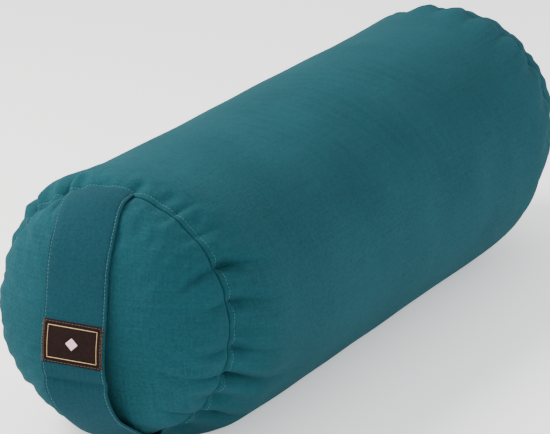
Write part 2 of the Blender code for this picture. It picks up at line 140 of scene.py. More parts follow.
class Dye:
    """One finish: its material, its shader and the nodes that feed it."""

    def __init__(self, name, roughness, **fixed):
        self.material = bpy.data.materials.new(name)
        self.material.use_nodes = True
        self.tree = self.material.node_tree
        self.shader = self.tree.nodes["Principled BSDF"]
        self.shader.inputs["Roughness"].default_value = roughness
        for socket, value in fixed.items():
            self.shader.inputs[socket.replace("_", " ")].default_value = value

    def join(self, value, socket):
        if isinstance(value, Wire):
            self.tree.links.new(value.socket, socket)
        else:
            socket.default_value = value

    def node(self, kind, settings=None, sockets=None, out=0):
        made = self.tree.nodes.new(kind)
        for key, value in (settings or {}).items():
            if key == "stops":
                ramp = made.color_ramp.elements
                while len(ramp) < len(value):
                    ramp.new(1.0)
                for stop, (place, colour) in zip(ramp, value):
                    stop.position, stop.color = place, (*colour, 1.0)
            else:
                setattr(made, key, value)
        for key, value in (sockets or {}).items():
            self.join(value, made.inputs[key])
        return Wire(self, made.outputs[out])

    def feed(self, socket, value):
        self.join(value, self.shader.inputs[socket])

    def mix(self, share, first, second):
        return self.node(
            "ShaderNodeMix", {"data_type": "RGBA"}, {0: share, 6: first, 7: second}, out=2
        )

    def noise(self, vector, scale, detail=2.0, roughness=0.5):
        return self.node(
            "ShaderNodeTexNoise", None,
            {"Vector": vector, "Scale": scale, "Detail": detail, "Roughness": roughness},
        )

    def bump(self, height, strength, distance, normal=None):
        sockets = {"Height": height, "Strength": strength, "Distance": distance}
        if normal is not None:
            sockets["Normal"] = normal
        return self.node("ShaderNodeBump", None, sockets)


def woven(name, colour, thread, roughness=0.92, sheen=0.06, slub=0.6, shade=0.24, lay="cloth"):
    """Plain-weave cotton: crossing threads, thicker and thinner yarns, and uneven dye."""
    dye = Dye(name, roughness, Sheen_Weight=sheen, Sheen_Roughness=0.45, Specular_IOR_Level=0.07)
    light = tuple(min(1.0, c * 1.25 + 0.02) for c in colour)
    dye.shader.inputs["Sheen Tint"].default_value = (*light, 1.0)
    place = dye.node("ShaderNodeUVMap", {"uv_map": lay})
    split = dye.node("ShaderNodeSeparateXYZ", None, {0: place})
    across, along = Wire(dye, split.socket.node.outputs[0]), Wire(dye, split.socket.node.outputs[1])
    warp, weft = across * (math.pi / thread), along * (math.pi / thread)
    over = warp.sum_with("SINE", warp) * weft.sum_with("SINE", weft)
    weave = over.sum_with("ABSOLUTE", over) ** 0.5
    yarn_run = dye.node("ShaderNodeMapping", None, {"Vector": place, "Scale": (1 / thread, 18.0, 1.0)})
    yarn_cross = dye.node("ShaderNodeMapping", None, {"Vector": place, "Scale": (18.0, 1 / thread, 1.0)})
    slubs = dye.noise(yarn_run, 0.55, 1.0) + dye.noise(yarn_cross, 0.55, 1.0)
    spots = dye.noise(dye.node("ShaderNodeTexCoord", None, None, out="Object"), 14.0, 3.0)
    lint = dye.noise(dye.node("ShaderNodeTexCoord", None, None, out="Object"), 520.0, 3.0, 0.65)
    tone = (slubs - 1.0) * slub + (spots - 0.5) * 0.8 + (lint - 0.5) * 1.6 + 0.5
    low = tuple(c * (1 - shade) for c in colour)
    high = tuple(min(1.0, c * (1 + shade) + 0.006 * shade) for c in colour)
    dye.feed("Base Color", dye.mix(tone, (*low, 1.0), (*high, 1.0)))
    dye.feed("Roughness", (slubs - 1.0) * 0.10 + roughness)
    fine = dye.bump(weave + slubs * 0.8, 0.35, thread * 0.35)
    dye.feed("Normal", dye.bump(lint, 0.35, 0.0009, fine))
    return dye.material


def new_piece(name, points, faces, material):
    """A piece from its points and faces, in the object's own frame."""
    mesh = bpy.data.meshes.new(name)
    mesh.from_pydata([tuple(map(float, p)) for p in points], [], faces)
    mesh.materials.append(material)
    mesh.shade_smooth()
    piece = bpy.data.objects.new(name, mesh)
    bpy.context.scene.collection.objects.link(piece)
    return piece


def lay_out(piece, flat):
    """Keeps where each point was on the flat cloth, in metres, as the map its weave follows."""
    layer = piece.data.uv_layers.new(name="cloth")
    corners = np.empty(len(piece.data.loops), np.int32)
    piece.data.loops.foreach_get("vertex_index", corners)
    layer.data.foreach_set("uv", np.asarray(flat, np.float32)[corners].ravel())


def round_panel_walk(steps):
    """Corners of the square grid at this many steps from a round panel's middle, from the top by +Y."""
    q = steps
    return (
        [(q, j) for j in range(q)] + [(i, q) for i in range(q, -q, -1)]
        + [(-q, j) for j in range(q, -q, -1)] + [(i, -q) for i in range(-q, q)]
        + [(q, j) for j in range(-q, 0)]
    )


def cut_cover():
    """The cover as cut and sewn, before it is stuffed: points, faces, and each panel's rings of points."""
    dice = np.random.default_rng(4)
    points, faces = [], []
    for row in range(cut_rows + 1):
        x = -tube_cut / 2 + tube_cut * row / cut_rows
        from_seam = min(row, cut_rows - row) / cut_rows * tube_cut
        for column in range(cut_columns):
            t = 2 * math.pi * column / cut_columns
            wave = math.cos(22 * t + (0.7 if x < 0 else 2.1) + 1.3 * math.sin(3 * t))
            ease_in = 1.2 * mm * math.exp(-from_seam / 0.020) * wave
            radius = tube_cut_radius + ease_in + 0.2 * mm * dice.normal() * math.exp(-from_seam / 0.05)
            points.append((x, radius * math.sin(t), radius * math.cos(t)))
    for row in range(cut_rows):
        for column in range(cut_columns):
            a, b = row * cut_columns, (column + 1) % cut_columns
            faces.append((a + column, a + cut_columns + column, a + cut_columns + b, a + b))
    panels = []
    for side, seam_row in ((-1, 0), (1, cut_rows)):
        rings, spot = [], {}
        for steps in range(panel_squares + 1):
            walk = round_panel_walk(steps) if steps else [(0, 0)]
            if steps == panel_squares:
                ring = [seam_row * cut_columns + n for n in range(cut_columns)]
            else:
                ring = list(range(len(points), len(points) + len(walk)))
                share = steps / panel_squares
                for n in range(len(walk)):
                    t = 2 * math.pi * n / len(walk)
                    x = tube_cut / 2 + 4 * mm * (1 - share**2) + 0.3 * mm * dice.normal()
                    radius = tube_cut_radius * share
                    points.append((side * x, radius * math.sin(t), radius * math.cos(t)))
            spot.update(zip(walk, ring))
            rings.append(ring)
        for i in range(-panel_squares, panel_squares):
            for j in range(-panel_squares, panel_squares):
                quad = (spot[i, j], spot[i + 1, j], spot[i + 1, j + 1], spot[i, j + 1])
                faces.append(quad if side < 0 else quad[::-1])
        panels.append(rings)
    return points, faces, panels


def stuff(points, faces):
    """Blows the sewn cover up like the filling does, and gives its points once it has settled."""
    piece = new_piece("cover_as_cut", points, faces, bpy.data.materials.new("cover_as_cut"))
    cloth = piece.modifiers.new("Cloth", "CLOTH")
    give = cloth.settings
    give.quality, give.mass, give.air_damping = 6, 0.3, 1.0
    give.tension_stiffness, give.compression_stiffness, give.shear_stiffness = 150, 10, 20
    give.bending_model, give.bending_stiffness, give.bending_damping = "ANGULAR", 1.0, 0.5
    give.tension_damping = give.compression_damping = give.shear_damping = 5
    give.use_pressure, give.uniform_pressure_force = True, 25
    give.effector_weights.gravity = 0
    cloth.collision_settings.use_collision = False
    settled = 40
    cloth.point_cache.frame_start, cloth.point_cache.frame_end = 1, settled + 2
    for moment in range(1, settled + 1):
        bpy.context.scene.frame_set(moment)
    done = piece.evaluated_get(bpy.context.evaluated_depsgraph_get()).data
    where = np.empty(len(done.vertices) * 3, np.float32)
    done.vertices.foreach_get("co", where)
    bpy.data.objects.remove(piece)
    bpy.context.scene.frame_set(1)
    return where.reshape(-1, 3).astype(float)


def unevenness(ring_points):
    """How a ring strays from an even circle, (along, outwards, sideways), at every column."""
    n = len(ring_points)
    if n == 1:
        return np.zeros((columns, 3))
    t = np.arange(n) * 2 * math.pi / n
    x, y, z = ring_points.T
    radius = np.hypot(y, z)
    slip = (np.arctan2(y, z) - t + math.pi) % (2 * math.pi) - math.pi
    stray = np.stack([x - x.mean(), radius - radius.mean(), radius * (slip - slip.mean())], axis=1)
    waves_in = np.fft.rfft(stray, axis=0) * (2 / n)
    waves_in[0] /= 2
    waves_in[-1] /= 2
    return np.real(np.exp(1j * np.outer(turn, np.arange(len(waves_in)))) @ waves_in)


def between(rows, place):
    """Values part of the way from row to row, on a smooth curve through the rows."""
    low = np.clip(np.floor(place).astype(int), 0, len(rows) - 2)
    share = (place - low)[:, None, None]
    a, b, c, d = (rows[np.clip(low + k, 0, len(rows) - 1)] for k in (-1, 0, 1, 2))
    return b + 0.5 * share * (c - a + share * (2 * a - 5 * b + 4 * c - d + share * (3 * (b - c) + d - a)))


cut_points, cut_faces, cut_panels = cut_cover()
stuffed = stuff(cut_points, cut_faces)
tube_rings = stuffed[: (cut_rows + 1) * cut_columns].reshape(cut_rows + 1, cut_columns, 3)
tube_stray = np.stack([unevenness(ring) for ring in tube_rings])
panel_stray = [np.stack([unevenness(stuffed[ring]) for ring in rings]) for rings in cut_panels]


def even(values, low=0.0, high=1.0):
    """Goes smoothly from 0 to 1 as the values go from low to high."""
    share = np.clip((values - low) / (high - low), 0, 1)
    return share * share * (3 - 2 * share)


def shape_line(x, r):
    """A profile's running length, for reading (x, radius, outward direction) off it by length."""
    run = np.concatenate([[0], np.cumsum(np.hypot(np.diff(x), np.diff(r)))])
    return run, x, r, np.gradient(x, run), np.gradient(r, run)


def on_profile(profile, share, outward):
    """(x, radius, direction off the cloth) at a share of a profile's length."""
    run = profile[0]
    x, r, slope_x, slope_r = (np.interp(share * run[-1], run, values) for values in profile[1:])
    lean = outward * np.array([slope_r, -slope_x])
    return x, r, lean / np.linalg.norm(lean)


bend = np.linspace(0, math.pi / 2, 400)
shoulder_x = half_length - narrowing * (1 - np.cos(bend))
shoulder_r = seam_radius + (barrel_radius - seam_radius) * (1 - np.cos(bend) ** narrowing_curve)
tube_line = shape_line(np.append(shoulder_x, 0.0), np.append(shoulder_r, barrel_radius))
dome_share = np.cos(bend)
dome_line = shape_line(
    half_length + end_bulge * (1 - dome_share**roundness) ** (1 / roundness), seam_radius * dome_share
)


def drawn_in(from_seam, side, on_tube):
    """How far each column's cloth is drawn in by the puckers, at one distance from a seam."""
    degrees = -np.degrees(turn)
    drawn = np.zeros(columns)
    for angle, depth, length in front_puckers if side < 0 else rear_puckers:
        reach = length * mm * (1.0 if on_tube else 0.6)
        slant = 45 * from_seam if on_tube else 0.0
        off = np.abs(apart(degrees, angle + slant))
        core = (0.95 if side < 0 else 1.5) + 0.6 * min(1.5, from_seam / reach)
        fade = math.exp(-1.2 * (from_seam / reach) ** 2) * (0.2 + 0.8 * even(from_seam / (5 * mm)))
        broad = 0.45 if on_tube else 0.25
        crease = 0.65 * np.exp(-((off / core) ** 1.3)) + broad * np.exp(-((off / (core * 3.2)) ** 2))
        ridge = 0.7 * broad * np.exp(-(((off - core * 4.4) / (core * 2.2)) ** 2))
        drawn += depth * mm * fade * (1.25 if on_tube else 0.7) * (crease - ridge)
    return drawn


# The filling's swells, each (turns along, turns round, start, mm): long ones, then shorter ones
waves = [
    (chance.uniform(6, 22), chance.integers(0, 5), chance.uniform(0, 2 * math.pi), 0.22) for _ in range(7)
] + [
    (chance.uniform(28, 75), chance.integers(-3, 4), chance.uniform(0, 2 * math.pi), 0.07) for _ in range(9)
]


def lumps(x):
    """The unevenness that the filling gives the tube, in metres, at one place along it."""
    high = sum(size * np.sin(pitch * x + count * turn + start) for pitch, count, start, size in waves)
    upper = np.exp(-((apart(np.degrees(turn), 340) / 34) ** 2))
    drift = x + 0.012 * np.sin(2.2 * turn) + 0.004 * np.sin(7 * turn + 40 * x)
    patchy = 0.55 + 0.45 * np.sin(21 * x + 3 * turn) * np.sin(37 * x + 1.3 + 5 * turn)
    wide_rings = 0.50 * np.sin(2 * math.pi * drift / (17.8 * mm))
    narrow_rings = 0.30 * np.sin(2 * math.pi * drift / (10.7 * mm) + 2 * turn)
    rings = (wide_rings + narrow_rings) * patchy
    band = math.exp(-(((x - 0.02) / 0.16) ** 2)) * upper
    return (high + rings * band) * mm + 0.5 * mm


def slot_columns(zip_turn):
    """The columns at the two sides of a zip's opening in the tube."""
    sides = (zip_turn - slot_half_turn, zip_turn + slot_half_turn)
    return tuple(int(np.argmin(np.abs(turn - side))) for side in sides)


def opened_turn(zip_turn):
    """Every column's angle, eased so that two of them run along the sides of a zip's opening."""
    first, last = slot_columns(zip_turn)
    wide = math.radians(12)
    places = [zip_turn - wide, turn[first], turn[last], zip_turn + wide]
    moves = [0, zip_turn - slot_half_turn - turn[first], zip_turn + slot_half_turn - turn[last], 0]
    return turn + np.interp(turn, places, moves)


def zip_calm(x, zip_turn, reach):
    """Where the cloth lies even because a zip holds it: 1 at the zip, 0 away from it."""
    off = np.abs(apart(np.degrees(turn), math.degrees(zip_turn)))
    return (1 - even(off, 7, 15)) * (1 - even(abs(x), reach, reach + 0.03))


def onto_floor(z):
    """Height once the floor has pressed the underside flat."""
    soft = 0.8 * mm
    return 0.5 * (z + np.sqrt(z * z + 4 * soft * soft))


# Where the filling pushes one end out more or less: (degrees as above, width in degrees, mm)
front_fullness = (
    (-46, 24, 6.0), (-12, 18, 1.5), (-114, 18, 4.5), (-152, 16, -3.0), (148, 22, -5.0), (112, 20, 1.0)
)


def fullness(from_seam, side):
    """How far the filling pushes each column out near an end."""
    if side > 0:
        upper = 0.5 + 0.5 * np.cos(turn)
        return 3.2 * mm * (1 - even(from_seam, 0.02, 0.085)) * (upper - 0.9 * (1 - upper))
    swell = 0.15 + 0.85 * even(from_seam, 0, 0.014)
    fade = (1 - even(from_seam, 0.03, 0.08)) * swell
    pushed = np.zeros(columns)
    for angle, width, amount in front_fullness:
        pushed += amount * mm * np.exp(-((apart(-np.degrees(turn), angle) / width) ** 2))
    return pushed * fade


def axis_at(x):
    """The ends ride a little high, because the filling settles lower between them."""
    return end_axis + (barrel_axis - end_axis) * even(half_length - abs(x), 0, 0.9 * narrowing)


def cover_place(x, radius, stray, shift, direction, angles=turn):
    """Points of one ring of cloth: its even place, how it strays, and how far it is pushed out."""
    across_turn = angles + stray[:, 2] / max(radius, 0.004)
    r = np.maximum(radius + stray[:, 1] + shift * direction[1], 0.0)
    along = x + stray[:, 0] + shift * direction[0]
    return np.stack(
        [along, r * np.sin(across_turn), onto_floor(axis_at(x) + r * np.cos(across_turn))], axis=1
    )


# How far from a seam each ring of cloth lies, closer together beside the seam
near_seam = np.array([0, 0.5, 1.0, 1.7, 2.4, 3.1, 3.8, 4.5, 5.2, 6.1, 7.4, 9.2]) * mm
middle = np.linspace(12 * mm, tube_cut - 12 * mm, 190)
tube_stations = np.concatenate([near_seam, middle, tube_cut - near_seam[::-1]])
panel_stations = np.concatenate([near_seam, np.linspace(11.5 * mm, 104 * mm, 34)])
topstitch_from_seam = 4.5 * mm


def seam_roll(distance, on_tube):
    """The turned edge beside the seam, the ridge over its turnings, and the furrow under the topstitch."""
    roll = -0.8 * mm * max(0.0, 1 - distance / (0.9 * mm)) ** 1.6
    if on_tube:
        ridge = 0.28 * mm * math.sin(math.pi * min(1.0, distance / topstitch_from_seam))
        return roll + ridge - 0.35 * mm * math.exp(-(((distance - topstitch_from_seam) / (0.8 * mm)) ** 2))
    return roll + 0.2 * mm * math.exp(-(((distance - 3 * mm) / (2 * mm)) ** 2))


def tube_cloth(inset=0.0, stations=tube_stations, zip_turn=cover_zip_turn, zip_reach=cover_zip_reach):
    """Rings of points along the tube, seam to seam."""
    strays = between(tube_stray, stations / tube_cut * cut_rows)
    angles = opened_turn(zip_turn)
    rings = []
    for station, stray in zip(stations, strays):
        side = -1 if station < tube_cut / 2 else 1
        from_seam = min(station, tube_cut - station)
        x, r, lean = on_profile(tube_line, from_seam / (tube_cut / 2), 1)
        calm = zip_calm(x, zip_turn, zip_reach)
        away = even(from_seam, 0.02, 0.08)
        shift = -drawn_in(from_seam, side, True) + lumps(side * x) * away + seam_roll(from_seam, True)
        shift = shift + fullness(from_seam, side)
        shift = shift * (1 - calm) + 0.5 * mm * calm - inset
        if inset:
            under_zip = zip_calm(x, cover_zip_turn, cover_zip_reach)
            shift = shift * (1 - under_zip) - (inset + 0.4 * mm) * under_zip
            calm = np.maximum(calm, under_zip)
        held = stray * (1 - calm)[:, None] * (0.28 + 0.6 * even(from_seam, 0, 0.016))
        rings.append(cover_place(side * x, r, held, shift, (side * lean[0], lean[1]), angles))
    return np.stack(rings)


def panel_cloth(side, inset=0.0, stations=panel_stations):
    """Rings of points on a round end panel, from the seam to its middle."""
    share = 1 - stations / tube_cut_radius
    strays = between(panel_stray[0 if side < 0 else 1], share * panel_squares)
    rings = []
    for station, stray in zip(stations, strays):
        x, r, lean = on_profile(dome_line, station / tube_cut_radius, -1)
        shift = -drawn_in(station, side, False) + seam_roll(station, False) - inset
        shift = shift + fullness(0.0, side) * (1 - even(station, 0.0, 0.06))
        held = stray * (0.28 + 0.3 * even(station, 0, 0.014))
        rings.append(cover_place(side * x, r, held, shift, (side * lean[0], lean[1])))
    return np.stack(rings)


def ring_faces(count, skip=()):
    """The squares between rings of cloth, apart from those that an opening takes out."""
    return [
        (a * columns + k, a * columns + (k + 1) % columns,
         (a + 1) * columns + (k + 1) % columns, (a + 1) * columns + k)
        for a in range(count - 1) for k in range(columns) if (a, k) not in skip
    ]


def turned_under(ring, side):
    """The seam's turnings: a ring of points inside the cover, straight in from the seam."""
    inner = ring.copy()
    spoke = ring[:, 1:] - np.array([0, end_axis])
    inner[:, 1:] -= spoke / np.linalg.norm(spoke, axis=1)[:, None] * turnings
    inner[:, 0] -= side * 0.2 * mm
    return inner


def slot_hole(stations, zip_turn, reach):
    """The squares of the tube's cloth that a zip's opening takes out, and the hole's corners in order."""
    first, last = slot_columns(zip_turn)
    inside = [i for i, station in enumerate(stations) if abs(station - tube_cut / 2) <= reach + 1e-6]
    top, bottom = inside[0], inside[-1]
    taken = {(a, k % columns) for a in range(top, bottom) for k in range(first, last)}
    corners = (
        [(a, first) for a in range(top, bottom)] + [(bottom, k) for k in range(first, last)]
        + [(a, last) for a in range(bottom, top, -1)] + [(top, k) for k in range(last, first, -1)]
    )
    return taken, corners


def out_of_zip(zip_turn):
    """The direction straight out of the tube at a zip."""
    return np.array([0, math.sin(zip_turn), math.cos(zip_turn)])


def sewn_tube(name, rings, flat_rings, material, hole, zip_turn):
    """The tube's cloth with its turnings at both ends, and its edges folded under along the zip."""
    rings = np.concatenate([[turned_under(rings[0], -1)], rings, [turned_under(rings[-1], 1)]])
    flat_rings = np.concatenate([[flat_rings[0] - turnings], flat_rings, [flat_rings[-1] + turnings]])
    taken, corners = hole
    faces = [face[::-1] for face in ring_faces(len(rings), skip={(a + 1, k) for a, k in taken})]
    flat = np.stack(np.broadcast_arrays(turn[None, :] * tube_cut_radius, flat_rings[:, None]), axis=2)
    points, flat = list(rings.reshape(-1, 3)), list(flat.reshape(-1, 2))
    out = out_of_zip(zip_turn)
    across = np.array([0, math.cos(zip_turn), -math.sin(zip_turn)])
    edge = [(a + 1) * columns + k % columns for a, k in corners]
    folds = [edge]
    for drop, under in ((0.25 * mm, -0.25 * mm), (0.7 * mm, -0.1 * mm), (0.8 * mm, 1.6 * mm)):
        folds.append(list(range(len(points), len(points) + len(edge))))
        for n in edge:
            side = math.copysign(1, (points[n] * across).sum() - barrel_axis * across[2])
            points.append(points[n] - out * drop + across * side * under)
            flat.append(flat[n] + np.array([under * side, 0]))
    for outer, inner in zip(folds, folds[1:]):
        for n in range(len(edge)):
            m = (n + 1) % len(edge)
            faces.append((outer[n], inner[n], inner[m], outer[m]))
    piece = new_piece(name, points, faces, material)
    lay_out(piece, flat)
    return piece


def sewn_panel(name, side, rings, stations, material):
    """A round panel's cloth with its turnings."""
    rings = np.concatenate([[turned_under(rings[0], side)], rings])
    cut_radius = tube_cut_radius - np.concatenate([[-turnings], stations])
    middle_point = rings[-1].mean(axis=0)
    points = np.concatenate([rings.reshape(-1, 3), [middle_point]])
    tip = len(points) - 1
    last = (len(rings) - 1) * columns
    faces = ring_faces(len(rings)) + [(last + k, last + (k + 1) % columns, tip) for k in range(columns)]
    piece = new_piece(name, points, faces if side < 0 else [f[::-1] for f in faces], material)
    flat = np.stack([cut_radius[:, None] * np.sin(turn), cut_radius[:, None] * np.cos(turn)], axis=2)
    lay_out(piece, np.concatenate([flat.reshape(-1, 2), [[0, 0]]]))
    return piece


teal = woven("teal_canvas", (0.0078, 0.0540, 0.0675), 0.62 * mm, sheen=0.04)
tube_rows = tube_cloth()
front_rows, rear_rows = panel_cloth(-1), panel_cloth(1)
cover_hole = slot_hole(tube_stations, cover_zip_turn, cover_slot_reach)
cover_tube = sewn_tube("cover_barrel", tube_rows, tube_stations, teal, cover_hole, cover_zip_turn)
cover_front = sewn_panel("cover_end_front", -1, front_rows, panel_stations, teal)
cover_rear = sewn_panel("cover_end_rear", 1, rear_rows, panel_stations, teal)
for piece, node in (
    (cover_tube, "cover_barrel_panel"), (cover_front, "cover_end_panel_front"),
    (cover_rear, "cover_end_panel_rear"),
):
    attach(piece, "bolster")
    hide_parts(node)

# ---- Topstitch round both seams ----------------------------------------------------------------
# A row of single machine stitches on the tube, 4.5 mm from each seam, which holds the seam's
# turnings down. Polyester thread, a shade lighter than the cloth.


def spun(name, colour, roughness=0.55):
    """Sewing thread: fine twisted plies with a low sheen."""
    dye = Dye(name, roughness, Sheen_Weight=0.3, Specular_IOR_Level=0.4)
    place = dye.node("ShaderNodeTexCoord", None, None, out="Object")
    plies = dye.noise(place, 2600.0, 2.0)
    dye.feed("Base Color", dye.mix(
        plies, tuple(c * 0.75 for c in colour) + (1,), tuple(min(1, c * 1.25) for c in colour) + (1,)
    ))
    dye.feed("Normal", dye.bump(plies, 0.4, 0.0001))
    return dye.material


def thread_faces(rings, sides, first=0):
    """The faces round a thread of this many rings, and over its two ends."""
    faces = []
    for k in range(rings - 1):
        one, two = first + k * sides, first + (k + 1) * sides
        for a in range(sides):
            b = (a + 1) % sides
            faces.append((one + a, one + b, two + b, two + a))
    faces.append(tuple(first + a for a in range(sides - 1, -1, -1)))
    faces.append(tuple(first + (rings - 1) * sides + a for a in range(sides)))
    return faces


def stitch_rows(name, rows, material, length=2.1 * mm, gap=0.6 * mm, width=0.42 * mm, rise=0.14 * mm):
    """Rows of stitches: each a short bowed thread that dips into the cloth at both ends."""
    bow = np.array([-0.9, 0.6, 1.0, 0.6, -0.9]) * rise
    thick = np.array([0.45, 0.95, 1.0, 0.95, 0.45]) * width / 2
    sides = np.arange(6) * math.pi / 3
    points, faces = [], []
    for line, out, closed in rows:
        if closed:
            line, out = np.concatenate([line, line[:1]]), np.concatenate([out, out[:1]])
        run = np.concatenate([[0], np.cumsum(np.linalg.norm(np.diff(line, axis=0), axis=1))])
        count = max(1, round(run[-1] / (length + gap)))
        pitch = run[-1] / count
        spare = gap / (length + gap) / 2
        for n in range(count):
            places = (n + np.linspace(spare, 1 - spare, 5)) * pitch
            middle = np.stack([np.interp(places, run, line[:, k]) for k in range(3)], axis=1)
            off = np.stack([np.interp(places, run, out[:, k]) for k in range(3)], axis=1)
            off /= np.linalg.norm(off, axis=1)[:, None]
            along = middle[-1] - middle[0]
            beside = np.cross(off, along / np.linalg.norm(along))
            faces += thread_faces(5, 6, len(points))
            for k in range(5):
                centre = middle[k] + off[k] * bow[k]
                for a in sides:
                    points.append(centre + thick[k] * (beside[k] * math.cos(a) + off[k] * 0.8 * math.sin(a)))
    return new_piece(name, points, faces, material)


def ring_outward(rings, row):
    """The direction off the cloth at every column of a ring."""
    along = rings[row + 1] - rings[row - 1]
    beside = np.roll(rings[row], -1, axis=0) - np.roll(rings[row], 1, axis=0)
    off = np.cross(along, beside)
    off /= np.linalg.norm(off, axis=1)[:, None]
    spoke = rings[row] - np.array([0, 0, end_axis])
    spoke[:, 0] = 0
    return off * np.sign((off * spoke).sum(axis=1))[:, None]


teal_thread = spun("teal_thread", (0.018, 0.112, 0.124))
stitch_row = int(np.argmin(np.abs(near_seam - topstitch_from_seam)))
for name, row in (("front", stitch_row), ("rear", len(tube_stations) - 1 - stitch_row)):
    stitched = stitch_rows(
        f"seam_topstitch_{name}_thread", [(tube_rows[row], ring_outward(tube_rows, row), True)], teal_thread
    )
    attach(stitched, "bolster")
    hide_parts(f"seam_topstitch_{name}")

# ---- Carry strap -------------------------------------------------------------------------------
# The cover's own canvas, folded to 52 mm and topstitched along both edges. Its ends are caught in
# the strap end's seam, at the top and at the bottom, and it stands off the panel lower down.

strap_width, strap_thickness, folded_thickness = 52 * mm, 2.2 * mm, 1.7 * mm
strap_slack = 10 * mm
grip_low, grip_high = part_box("handle_strap_grip")
slack_top, slack_full = 0.045, -0.035
# The strap's sideways course up the end: (height over the axis, shift towards +Y)
strap_course = np.array([
    (-91, -10), (-60, -3), (-39, 1.5), (-16, 3.6), (7, 4.4), (41, 6), (76, 6.3), (92, 10.5)
]) * mm


def strap_line(angle):
    """(out from the seam, height over the axis, sideways shift) of the strap's middle."""
    power = 2 / roundness
    rough = math.copysign(seam_radius * abs(math.sin(angle)) ** power, angle)
    slack = strap_slack * (1 - even(rough, slack_full, slack_top))
    slack *= even(rough, -seam_radius, slack_full)
    off = strap_thickness / 2 + 0.4 * mm + slack
    out = (end_bulge + off) * math.cos(angle) ** power
    height = math.copysign((seam_radius + off) * abs(math.sin(angle)) ** power, angle)
    shift = np.interp(rough, *strap_course.T)
    return out, height, shift


smooth_course = np.hanning(61) / np.hanning(61).sum()
sweep = [math.pi / 2 - 0.004 - (math.pi - 0.008) * i / 600 for i in range(601)]
line = [strap_line(angle) for angle in sweep]
line = (
    [(-0.6 * mm, seam_radius - 3.5 * mm, line[0][2])] + line
    + [(-0.6 * mm, -seam_radius + 3.5 * mm, line[-1][2])]
)
line = np.array(line)
line[:, 2] = np.convolve(np.pad(line[:, 2], 30, mode="edge"), smooth_course, mode="valid")
line_run = np.concatenate([[0], np.cumsum(np.hypot(np.diff(line[:, 0]), np.diff(line[:, 1])))])
strap_rows = 131
strap_length = line_run[-1]
row_place = np.linspace(0, strap_length, strap_rows)
strap_centre = np.stack([np.interp(row_place, line_run, line[:, k]) for k in range(3)], axis=1)
heading = np.gradient(strap_centre[:, :2], row_place, axis=0)
heading /= np.linalg.norm(heading, axis=1)[:, None]
strap_out = np.stack([-heading[:, 1], heading[:, 0]], axis=1)
half_strap = strap_width / 2
edge_to_stitch = 2.3 * mm
edge = half_strap - folded_thickness / 2
side_steps = np.array([0, 0.12, 0.45, 1.1, 1.8, 2.3, 2.8, 3.6, 5.5, 8.5, 12, 16, 20.5, 26]) * mm
strap_across = np.concatenate([side_steps - half_strap, half_strap - side_steps[-2::-1]])


def strap_bed():
    """Where the strap's middle thickness lies, at every row and place across it."""
    bed = np.zeros((strap_rows, len(strap_across), 3))
    for i, (out, height, shift) in enumerate(strap_centre):
        for j, across in enumerate(strap_across):
            y = shift + across
            wrapped = math.copysign(math.sqrt(max(height**2 - y**2, 0.0)), height)
            hug = even(abs(height), seam_radius * 0.62, seam_radius * 0.92)
            bed[i, j] = (-half_length - out, y, end_axis + height + (wrapped - height) * hug)
    return bed


def with_neighbours(values):
    """A grid of values, and the same grid moved one place each way."""
    wide = np.pad(values, 1, mode="edge")
    return wide[1:-1, 1:-1], wide[:-2, 1:-1], wide[2:, 1:-1], wide[1:-1, :-2], wide[1:-1, 2:]


strap_way = np.stack([-strap_out[:, 0], np.zeros(strap_rows), strap_out[:, 1]], axis=1)
bed = strap_bed()
panel_tree = BVHTree.FromPolygons(
    [tuple(p) for p in front_rows.reshape(-1, 3)], ring_faces(len(front_rows))
)
above = 30 * mm
push = np.zeros(bed.shape[:2])
for i in range(strap_rows):
    for j in range(len(strap_across)):
        way = Vector(strap_way[i])
        hit = panel_tree.ray_cast(Vector(bed[i, j]) + way * above, -way, 2 * above)[3]
        if hit is not None:
            rise = above - hit + folded_thickness / 2 + 0.35 * mm
            hugs = even(strap_centre[i, 1], -0.015, 0.055)
            push[i, j] = max(min(0.0, rise) * hugs, rise)
fade_in = np.clip(np.minimum(row_place, strap_length - row_place) / (9 * mm), 0, 1)
push = np.minimum(push, 6 * mm)
widest = push.copy()
for _ in range(2):
    widest = np.maximum.reduce(with_neighbours(widest))
for _ in range(6):
    own, *beside = with_neighbours(widest)
    widest = (sum(beside) + 2 * own) / 6
push = np.maximum(push, widest) * fade_in[:, None]
height_here = strap_centre[:, 1]
crease = -2.0 * mm * np.exp(-(((height_here + 0.034) / (3 * mm)) ** 2))
ripple = 0.35 * mm * np.sin(row_place / 0.021 + 0.7)[:, None] * (strap_across / half_strap)[None, :]
bed = bed + strap_way[:, None, :] * (push + crease[:, None] + ripple * fade_in[:, None])[:, :, None]


def strap_face(across):
    """Height of the strap's face over its mid-thickness: rounded edges, and furrows under the stitches."""
    over = np.clip((np.abs(across) - edge) / (folded_thickness / 2), 0, 1)
    furrow = np.exp(-(((half_strap - np.abs(across) - edge_to_stitch) / (0.7 * mm)) ** 2))
    return folded_thickness / 2 * np.sqrt(1 - over**2) - 0.25 * mm * furrow


def strap_off():
    """Directions off the strap's face over the whole bed."""
    along, beside = np.gradient(bed, axis=0), np.gradient(bed, axis=1)
    off = np.cross(beside, along)
    off /= np.linalg.norm(off, axis=2)[:, :, None]
    return off * np.sign((off * strap_way[:, None, :]).sum(axis=2))[:, :, None]


bed_off = strap_off()


def on_strap(place, across, lift):
    """A point over the strap's face, by length along the strap and place across it."""
    i = np.clip(place / strap_length * (strap_rows - 1), 0, strap_rows - 1.001)
    low, share = int(i), i - int(i)
    spot, off = np.zeros(3), np.zeros(3)
    for weight, row in ((1 - share, low), (share, low + 1)):
        for k in range(3):
            spot[k] += weight * np.interp(across, strap_across, bed[row, :, k])
            off[k] += weight * np.interp(across, strap_across, bed_off[row, :, k])
    off /= np.linalg.norm(off)
    return spot + off * (strap_face(np.array(across)) + lift), off


